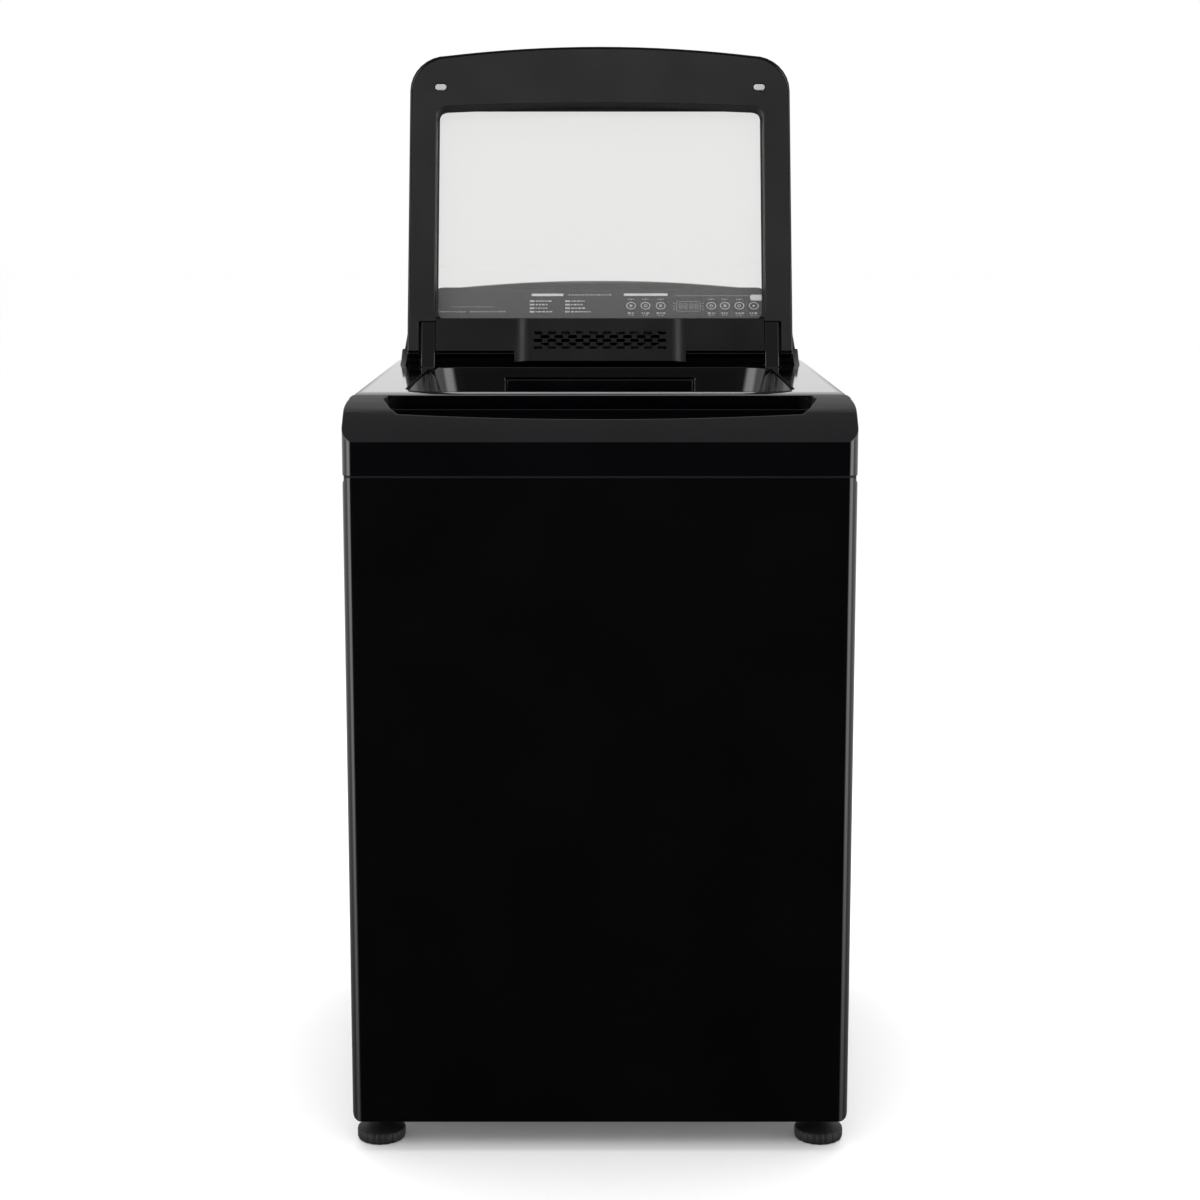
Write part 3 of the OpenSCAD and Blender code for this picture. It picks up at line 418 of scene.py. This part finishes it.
def loft(bm, rings, closed=True, cap=False):
    """Joins rings of equally many points with quads."""
    rows = [[bm.verts.new(p) for p in ring] for ring in rings]
    count = len(rows[0])
    last = count if closed else count - 1
    for a, b in zip(rows, rows[1:]):
        for i in range(last):
            j = (i + 1) % count
            bm.faces.new((a[i], a[j], b[j], b[i]))
    if cap:
        bm.faces.new(rows[0][::-1])
        bm.faces.new(rows[-1])
    return rows


def lathe(bm, centre, profile, steps=48, shape=lambda angle, r, z: r):
    """Turns a profile of (radius, height) round a vertical line."""
    rings = []
    for r, z in profile:
        rings.append([centre + Vector((math.cos(t) * shape(t, r, z), math.sin(t) * shape(t, r, z),
                                       z)) for t in
                      (2 * math.pi * i / steps for i in range(steps))])
    loft(bm, rings, cap=True)


# ------------------------------------------------------------------ cabinet and top

def bevel_where(bm, offset, segments, test):
    """Rounds the sharp edges whose two ends pass the test."""
    chosen = [e for e in bm.edges if len(e.link_faces) == 2
              and e.calc_face_angle(0) > math.radians(40)
              and test(e.verts[0].co) and test(e.verts[1].co)]
    if chosen:
        bmesh.ops.bevel(bm, geom=chosen, offset=offset, segments=segments, profile=0.5,
                        affect="EDGES", clamp_overlap=False)


def rim_bevel(bm):
    """Wider rounds along the loading opening and the finger recess."""
    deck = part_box("top_cover")[1].z
    front = cad_box[0].y
    opening_half, opening_front, opening_rear = 0.2295, front + 0.0735, 0.13
    recess_half, recess_front, recess_rear, recess_depth = 0.256, front + 0.012, front + 0.066, 0.035

    def on_opening(p):
        return (p.z > deck - 0.002 and abs(p.x) < opening_half
                and opening_front < p.y < opening_rear)

    def on_recess(p):
        slope_z = deck - 0.040 + (p.y - front - 0.02) * 0.62
        return (p.z > deck - recess_depth and abs(p.x) < recess_half
                and recess_front < p.y < recess_rear and p.z > slope_z)

    bevel_where(bm, 0.003, 4, on_opening)
    bevel_where(bm, 0.0016, 3, on_recess)


dress("cabinet", 0.3, 2)
dress("top_cover", 0.8, 2, shape=rim_bevel)
dress("console_housing", 1.2, 3)
dress("control_panel", 0.3, 2)
dress("detergent_drawer", 0.8, 2)
dress("lid_outer_frame", 0.8, 2)
dress("lid_inner_frame", 0.8, 2)
dress("lid_rear_panel", 0.2, 2, smooth=25, merge=False)
dress("lid_bumpers", 1.0, 3)
dress("lid_glass", 0.4, 2)
dress("hinge_arms", 1.0, 2, material="gloss_black")
dress("balance_ring", 0, smooth=50)
dress("tub_cover", 0.6, 2)
dress("basket_hub", 0, smooth=35)
dress("lint_filters", 0.8, 2)
dress("pulsator", 2.0, 3)
dress("pulsator_cap", 1.0, 3)
flexing("suspension_springs")
flexing("pressure_tube")
flexing("drain_hose")


# ------------------------------------------------------------------ back sheet and seam

def grid_lines(low, high, stops, step):
    """Rising positions from low to high through every stop, at most step apart."""
    marks = sorted({low, high, *stops})
    lines = []
    for a, b in zip(marks, marks[1:]):
        n = max(1, math.ceil((b - a) / step - 1e-6))
        lines += [a + (b - a) * i / n for i in range(n)]
    return lines + [high]


def ramp_in(distance, width):
    """0 outside an edge and 1 inside it, with a smooth pressed wall of that width."""
    t = min(1, max(0, distance / width))
    return t * t * (3 - 2 * t)


def back_sheet():
    """Zinc sheet with pressed ribs, a raised field and two rows of vents."""
    low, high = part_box("back_panel")
    face = high.y - 0.0028
    press = 6
    field_half, field_tall, field_z, field_lift = 170, 85, 175, 1.8
    rib_half, rib_tall, rib_end, rib_lift = 230, 7, 9, 2.8
    rib_steps = (-7, -4.7, -2.3, 0, 2.3, 4.7, 7)
    slit_half, slit_tall = 4, 40
    rib_heights = [z + rib_tall for z in range(300, 701, 80)]
    vents_x = range(-120, 121, 20)
    vents_z = (120, 190)
    across = (field_half - press, field_half, rib_half - rib_end, rib_half - rib_end / 2,
              rib_half)
    upward = (field_z - field_tall, field_z - field_tall + press,
              field_z + field_tall - press, field_z + field_tall)
    xs = grid_lines(low.x / MM, high.x / MM,
                    [x + d for x in vents_x for d in (-slit_half, slit_half)]
                    + [s * v for s in (-1, 1) for v in across], 14)
    zs = grid_lines(low.z / MM, high.z / MM,
                    [z + d for z in vents_z for d in (0, slit_tall)] + list(upward)
                    + [z + d for z in rib_heights for d in rib_steps], 14)

    def lift(x, z):
        h = (field_lift * ramp_in(field_half - abs(x), press)
             * ramp_in(field_tall - abs(z - field_z), press))
        for middle in rib_heights:
            h = max(h, rib_lift * ramp_in(rib_tall - abs(z - middle), press)
                    * ramp_in(rib_half - abs(x), rib_end))
        return h

    def in_slit(x, z):
        return (any(abs(x - v) < slit_half for v in vents_x)
                and any(0 < z - v < slit_tall for v in vents_z))

    bm = bmesh.new()
    grid = [[bm.verts.new((x * MM, face + lift(x, z) * MM, z * MM)) for x in xs] for z in zs]
    for k in range(len(zs) - 1):
        for i in range(len(xs) - 1):
            x, z = (xs[i] + xs[i + 1]) / 2, (zs[k] + zs[k + 1]) / 2
            if not in_slit(x, z):
                bm.faces.new((grid[k][i], grid[k][i + 1], grid[k + 1][i + 1], grid[k + 1][i]))
    sheet = piece_from(bm, "back_sheet", "galvanised", "frame", 60,
                       ("back_panel",))
    if sheet.data.polygons[0].normal.y < 0:
        sheet.data.flip_normals()
    thick = sheet.modifiers.new("thickness", "SOLIDIFY")
    thick.thickness = 0.0011
    thick.offset = -1


def seam_shade_strip():
    """Dark strip behind the seam between the cabinet and the top cover: painted shade, a black piece standing in
    for the shade inside the seam so no light shows through the gap.
    """
    low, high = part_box("cabinet")
    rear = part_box("back_panel")[0].y + 0.010
    outside, inside = 0.0015, 0.0029
    foot, head = high.z - 0.004, high.z + 0.0020
    front_round, rear_round, steps = 0.0125, 0.0005, 8
    bm = bmesh.new()
    rings = []
    for inset, z in ((outside, foot), (outside, head), (inside, head), (inside, foot)):
        ring = []
        for sx, sy, start in ((1, 1, 0), (-1, 1, 1), (-1, -1, 2), (1, -1, 3)):
            r = front_round - inset / 2 if sy < 0 else rear_round
            cx = sx * (high.x - inset - r)
            cy = (rear - inset - r) if sy > 0 else low.y + inset + r
            for k in range(steps + 1):
                t = math.pi / 2 * (start + k / steps)
                ring.append((cx + r * math.cos(t), cy + r * math.sin(t), z))
        rings.append(ring)
    loft(bm, rings + rings[:1])
    bmesh.ops.remove_doubles(bm, verts=bm.verts, dist=1e-6)
    # black rubber material here paints the shade inside the seam
    piece_from(bm, "seam_shade_strip", "rubber", "frame")


def loose_parts(bm):
    """The corners of each separate solid of a mesh, in the mesh's own order."""
    seen, parts = set(), []
    for seed in bm.verts:
        if seed in seen:
            continue
        seen.add(seed)
        todo, part = [seed], []
        while todo:
            v = todo.pop()
            part.append(v.co.copy())
            for e in v.link_edges:
                w = e.other_vert(v)
                if w not in seen:
                    seen.add(w)
                    todo.append(w)
        parts.append(part)
    return parts


def middle_of(points):
    lows = Vector([min(p[i] for p in points) for i in range(3)])
    tops = Vector([max(p[i] for p in points) for i in range(3)])
    return (lows + tops) / 2


def screw_heads():
    """Hexagonal washer-head screws where the CAD has its screws."""
    bm = cad_bmesh("case_screws")
    centres = [middle_of(part) for part in loose_parts(bm)]
    bm.free()
    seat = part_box("case_screws")[0].y
    bm = bmesh.new()
    steps = 24
    for centre in centres:
        rings = []
        for r, t, six_sided in ((4.5, 0.0, 0), (4.5, 0.5, 0), (4.1, 0.9, 0), (3.3, 1.0, 1),
                                (3.3, 2.2, 1), (2.8, 2.55, 1), (1.6, 2.5, 1), (1.3, 1.7, 1)):
            ring = []
            for k in range(steps):
                a = 2 * math.pi * k / steps
                hexagon = 1 / math.cos((a + math.pi / 6) % (math.pi / 3) - math.pi / 6)
                q = r * (hexagon if six_sided else 1) * MM
                ring.append((centre.x + q * math.cos(a), seat + t * MM,
                             centre.z + q * math.sin(a)))
            rings.append(ring)
        loft(bm, rings, cap=True)
    piece_from(bm, "screw_heads", "steel", "frame", 35, ("case_screws",))


back_sheet()
seam_shade_strip()
screw_heads()


# ------------------------------------------------------------------ basket wall

def basket_wall():
    """Stainless wall: each cell of the grid has a round hole, apart from plain upright ribs."""
    low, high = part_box("basket")
    centre = (low + high) / 2
    radius = (high.x - low.x) / 2 - 0.0003
    columns, rows, rib = 96, 30, 8
    hole, dent = 0.0017, 0.0003
    rim = 1.8 * hole
    turns = [math.pi / 4 * n for n in range(8)]
    cell_h = (high.z - low.z) / rows
    cell_a = 2 * math.pi / columns

    def at(a, z, r=radius):
        return (centre.x + r * math.cos(a), centre.y + r * math.sin(a), z)

    bm = bmesh.new()
    for i in range(columns):
        for k in range(rows):
            a, z = (i + 0.5) * cell_a, low.z + (k + 0.5) * cell_h
            frame_points = [(dx * cell_a / 2, dz * cell_h / 2) for dx, dz in
                            ((1, 0), (1, 1), (0, 1), (-1, 1), (-1, 0), (-1, -1), (0, -1),
                             (1, -1))]
            edge = [bm.verts.new(at(a + da, z + dz)) for da, dz in frame_points]
            if i % rib == 0 or k in (0, rows - 1):
                bm.faces.new(edge)
                continue
            dimple = [bm.verts.new(at(a + rim / radius * math.cos(t), z + rim * math.sin(t)))
                      for t in turns]
            ring = [bm.verts.new(at(a + hole / radius * math.cos(t), z + hole * math.sin(t),
                                    radius - dent)) for t in turns]
            for n in range(8):
                m = (n + 1) % 8
                bm.faces.new((edge[n], edge[m], dimple[m], dimple[n]))
                bm.faces.new((dimple[n], dimple[m], ring[m], ring[n]))
    bmesh.ops.remove_doubles(bm, verts=bm.verts, dist=1e-5)
    wall = piece_from(bm, "basket_wall", "stainless", BODY["basket"], 60,
                      ("basket",))
    thick = wall.modifiers.new("thickness", "SOLIDIFY")
    thick.thickness = 0.0007
    thick.offset = -1


basket_wall()


# ------------------------------------------------------------------ control panel

PANEL_TILT = math.radians(46)
panel_low, panel_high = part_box("control_panel")
PANEL_BASE = Vector((0, panel_low.y - 0.010 * math.cos(PANEL_TILT),
                     panel_high.z - 0.076 * math.sin(PANEL_TILT)))
ACROSS = Vector((1, 0, 0))
UP = Vector((0, math.cos(PANEL_TILT), math.sin(PANEL_TILT)))
OUT = Vector((0, -math.sin(PANEL_TILT), math.cos(PANEL_TILT)))


def on_panel(x, v, w=0.0):
    """A point x across, v up and w out of the control panel, given in millimetres."""
    return PANEL_BASE + (ACROSS * x + UP * v + OUT * w) * MM


def flat_shape(bm, outline, w_low, w_high):
    """A thin plate on the panel from an outline of (x, v) points."""
    loft(bm, [[on_panel(x, v, w_low) for x, v in outline],
              [on_panel(x, v, w_high) for x, v in outline]], cap=True)


def pill(x, v, wide, tall, r=None, steps=5):
    """Outline of a bar with round corners about (x, v)."""
    r = min(wide, tall) / 2 * 0.96 if r is None else r
    points = []
    for n, (sx, sv) in enumerate(((1, 1), (-1, 1), (-1, -1), (1, -1))):
        cx, cv = x + sx * (wide / 2 - r), v + sv * (tall / 2 - r)
        for k in range(steps):
            t = math.pi / 2 * (n + k / (steps - 1))
            points.append((cx + r * math.cos(t), cv + r * math.sin(t)))
    return points


def band(bm, outer, inner, w_low, w_high):
    """A closed line of some width between two outlines of equally many points."""
    loops = [[bm.verts.new(on_panel(x, v, w)) for x, v in line]
             for line, w in ((outer, w_high), (inner, w_high), (inner, w_low), (outer, w_low))]
    count = len(outer)
    for a, b in zip(loops, loops[1:] + loops[:1]):
        for i in range(count):
            j = (i + 1) % count
            bm.faces.new((a[i], a[j], b[j], b[i]))


def circle(x, v, r, steps=28):
    return [(x + r * math.cos(2 * math.pi * k / steps), v + r * math.sin(2 * math.pi * k / steps))
            for k in range(steps)]


def panel_x(node):
    """Where a node's middle is across the panel."""
    low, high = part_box(node)
    return ((low + high) / 2 - PANEL_BASE).x / MM


INK_LOW, INK_HIGH = -0.05, 0.12
BUTTON_V = 41.0
DISPLAY_X = 122.5
button_centres = {name: panel_x(name) for name in frame["nodes"] if name.startswith("button_")}


def dashes(bm, rng, x_from, x_to, v, tall, gap=1.3):
    """Short unequal bars in a row, standing in for a line of small print."""
    x = x_from
    while x < x_to - 1:
        wide = min(rng.uniform(1.6, 4.6), x_to - x)
        flat_shape(bm, pill(x + wide / 2, v, wide, tall), INK_LOW, INK_HIGH)
        x += wide + gap


def panel_print():
    rng = random.Random(11)
    bright, dim = bmesh.new(), bmesh.new()
    flat_shape(bright, pill(-73, 62, 44, 4.6, 1.2), INK_LOW, INK_HIGH)
    dashes(dim, rng, -44, 17, 62, 2.4)
    for column in (-94, -45):
        for v in (31, 37.5, 44, 50.5):
            dashes(bright, rng, column + 5, column + 5 + rng.uniform(16, 27), v, 2.0)
            flat_shape(bright, pill(column, v, 6.4, 2.8, 0.8), INK_LOW, INK_HIGH)
    dashes(dim, rng, -222, -186, 31, 1.8)
    dashes(dim, rng, -180, -128, 31, 1.8)
    flat_shape(dim, pill(-176, 40, 62, 0.5), INK_LOW, INK_HIGH)
    flat_shape(bright, pill(63.5, 62.5, 61, 4.4, 1.2), INK_LOW, INK_HIGH)
    flat_shape(dim, pill(157, 60.5, 108, 0.6), INK_LOW, INK_HIGH)
    flat_shape(bright, pill(218, 57, 19, 10.5, 3.4), INK_LOW, INK_HIGH)
    for x in button_centres.values():
        for k in (-1, 0, 1):
            flat_shape(bright, circle(x + 3.4 * k, 54, 0.75, 10), INK_LOW, INK_HIGH)
        wide = rng.uniform(9, 14)
        dashes(bright, rng, x - wide / 2, x + wide / 2, 28.5, 1.9)
        dashes(dim, rng, x - wide / 2.6, x + wide / 2.6, 24.8, 1.6)
    band(dim, pill(DISPLAY_X, BUTTON_V, 33.5, 18.5, 4), pill(DISPLAY_X, BUTTON_V, 32.3, 17.3, 3.4),
         INK_LOW, INK_HIGH)
    for side in (-1, 1):
        for v in (35.5, 41, 46.5):
            flat_shape(dim, pill(DISPLAY_X + side * 20, v, 2.6, 1.2), INK_LOW, INK_HIGH)
    piece_from(bright, "panel_print_bright", "ink", "frame")
    piece_from(dim, "panel_print_dim", "ink_dim", "frame")


def display_digits():
    """Unlit seven-bar figures behind the display window."""
    bm = bmesh.new()
    for digit in (-9.5, -2.5, 5.5, 12.5):
        x = DISPLAY_X + digit - 1.5
        for v in (-4.2, 0, 4.2):
            flat_shape(bm, pill(x, BUTTON_V + v, 3.2, 0.7), 0.16, 0.28)
        for side in (-1, 1):
            for v in (-2.1, 2.1):
                flat_shape(bm, pill(x + side * 2, BUTTON_V + v, 0.7, 3.2), 0.16, 0.28)
    piece_from(bm, "display_digits", "ink_dim", "frame")


def ring_marks():
    """A pale ring and a small sign on each button's face."""
    for count, (name, x) in enumerate(sorted(button_centres.items(), key=lambda item: item[1])):
        dress(name, 0.25, 2)
        bm = bmesh.new()
        band(bm, circle(x, BUTTON_V, 6.6), circle(x, BUTTON_V, 5.7), 0.9, 1.26)
        if name == "button_start":
            flat_shape(bm, [(x - 1.6, BUTTON_V - 2), (x + 2, BUTTON_V), (x - 1.6, BUTTON_V + 2)],
                       0.8, 1.18)
        elif count % 2:
            band(bm, circle(x, BUTTON_V, 2.4, 16), circle(x, BUTTON_V, 1.7, 16), 0.8, 1.18)
        else:
            for v in (-1.5, 0, 1.5):
                flat_shape(bm, pill(x, BUTTON_V + v, 4.2, 0.8), 0.8, 1.18)
        piece_from(bm, name + "_mark", "ink", BODY[name])


panel_print()
display_digits()
ring_marks()
dress("display_window", 0.2, 2)
dress("indicator_lights", 0.15, 2)


# ------------------------------------------------------------------ lid details

HINGE = next(j for j in frame["joints"] if j["name"] == "lid_hinge")
HINGE_AT = Vector(HINGE["pos_m"])
LID_TURN = Matrix.Rotation(-math.radians(106), 3, "X")


def on_lid(x, u, z):
    """A point of the open lid: x across, u forward of the hinge and z above it when closed."""
    return HINGE_AT + LID_TURN @ (Vector((x, -u, z)) * MM)


def window_path(out, corner, steps=9):
    """Points round the lid's window, drawn out by out, in (x, u)."""
    half, rear, front = 225 + out, 82 - out, 385 + out
    points = []
    for sx, su, start in ((1, front, 0), (-1, front, 1), (-1, rear, 2), (1, rear, 3)):
        inner_u = su - corner if su == front else su + corner
        for k in range(steps):
            t = math.pi / 2 * (start + k / (steps - 1))
            points.append((sx * (half - corner) + corner * math.cos(t),
                           inner_u + corner * math.sin(t)))
    return points


def window_gasket():
    """Black rubber lip between the glass and the lid's inner frame."""
    bm = bmesh.new()
    rings = []
    for out, z in ((-0.4, 38.5), (-2.6, 39.4), (-3.4, 41), (-3.2, 42.6), (-0.4, 42.6)):
        rings.append([on_lid(x, u, z) for x, u in window_path(out, 13)])
    loft(bm, rings)
    piece_from(bm, "window_gasket", "rubber", "lid")


window_gasket()


# ------------------------------------------------------------------ feet and small parts

def foot_skin(name):
    """Round foot with grip notches and a threaded stud."""
    low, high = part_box(name)
    centre = Vector(((low.x + high.x) / 2, (low.y + high.y) / 2, 0))
    r = (high.x - low.x) / 2
    notches, notch_depth = 18, 0.035
    stud, pitch, base = 0.005, 0.0015, low.z + 0.0187
    bm = bmesh.new()

    def scallop(angle, radius, z):
        if radius <= r * 0.8:
            return radius
        return radius * (1 - notch_depth * max(0, math.cos(notches * angle)) ** 3)

    lathe(bm, centre, [(r - 0.003, low.z + 0.0002), (r - 0.001, low.z + 0.0012),
                       (r, low.z + 0.004), (r, low.z + 0.0125), (r - 0.0015, low.z + 0.0145),
                       (r * 0.6, low.z + 0.0165), (0.013, low.z + 0.0185)], 144, scallop)
    thread = [(stud * 0.98, base)]
    z = base
    while z < high.z - 0.0016:
        thread += [(stud * 0.86, z + 0.0004), (stud * 0.99, z + 0.0010)]
        z += pitch
    thread.append((stud * 0.8, high.z - 0.0002))
    lathe(bm, centre, thread, 24)
    return piece_from(bm, name + "_skin", "rubber", BODY[name], 50, (name,))


for name in [n for n in frame["nodes"] if n.startswith("foot_")]:
    foot_skin(name)
dress("cable_gland", 0.5, 2)
dress("drain_outlet", 0.5, 2)
dress("inlet_valve", 0.5, 2)
dress("base_frame", 0.6, 2)
